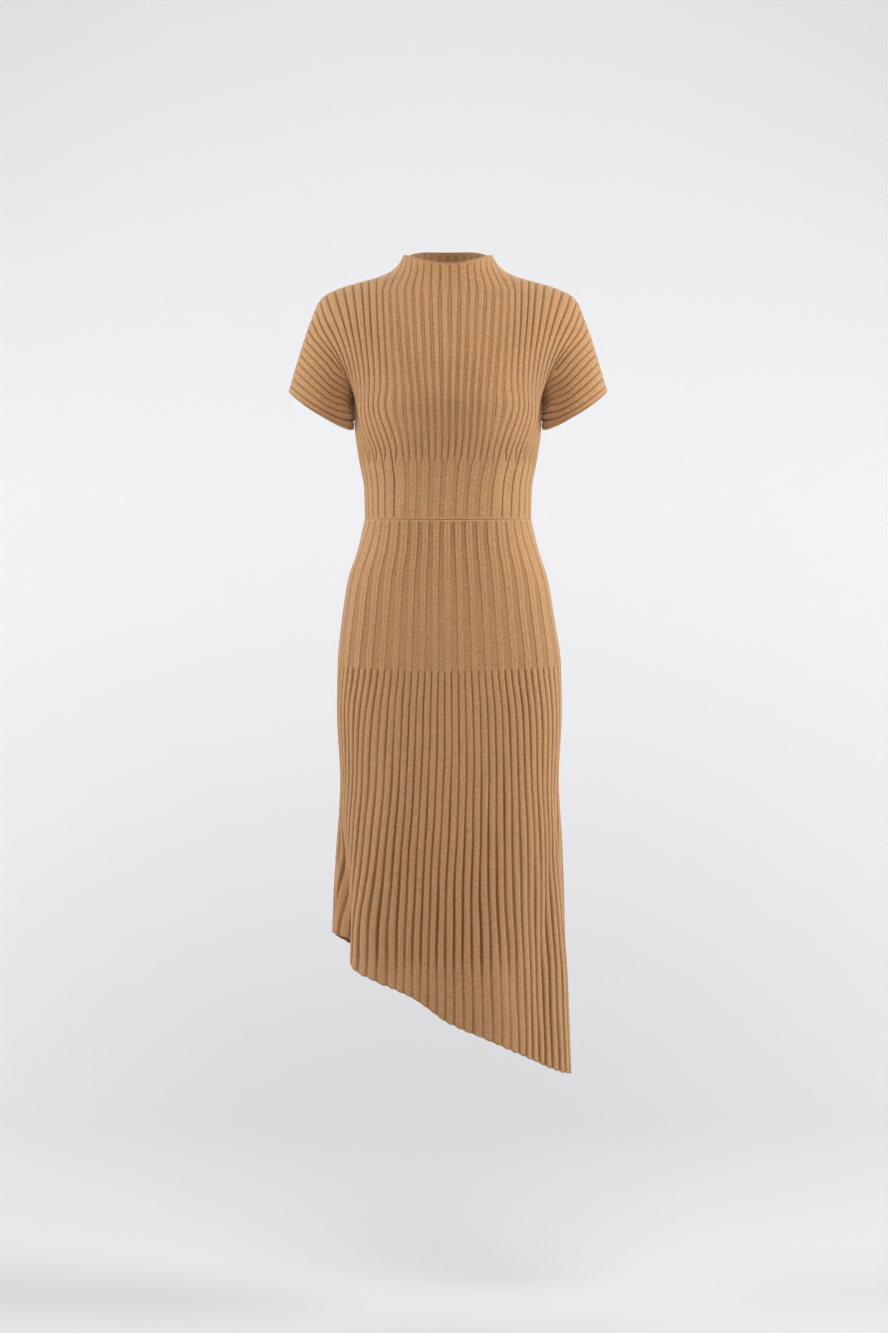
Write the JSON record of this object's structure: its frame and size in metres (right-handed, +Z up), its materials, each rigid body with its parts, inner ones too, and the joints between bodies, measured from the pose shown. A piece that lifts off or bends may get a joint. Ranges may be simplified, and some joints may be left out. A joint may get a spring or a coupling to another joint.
{
  "type": "sweater dress",
  "caption": "Fitted rib-knit midi dress with funnel collar, cap sleeves, waist seam and slanted hem, hollow as worn.",
  "frame": {"origin": "middle of the shoulders, between the two shoulder seams, where the wearer holds the dress up", "axes": "+Z up, front of the dress towards -Y, the wearer's left and the hem's long side towards +X"},
  "size_m": [0.4634, 0.2564, 1.2033],
  "materials": {
    "ribbed_knit": "matt camel rib knit"
  },
  "bodies": {
    "root": {"bodice_front": "ribbed_knit", "bodice_back": "ribbed_knit", "skirt_front": "ribbed_knit", "skirt_back": "ribbed_knit"}
  },
  "joints": []
}
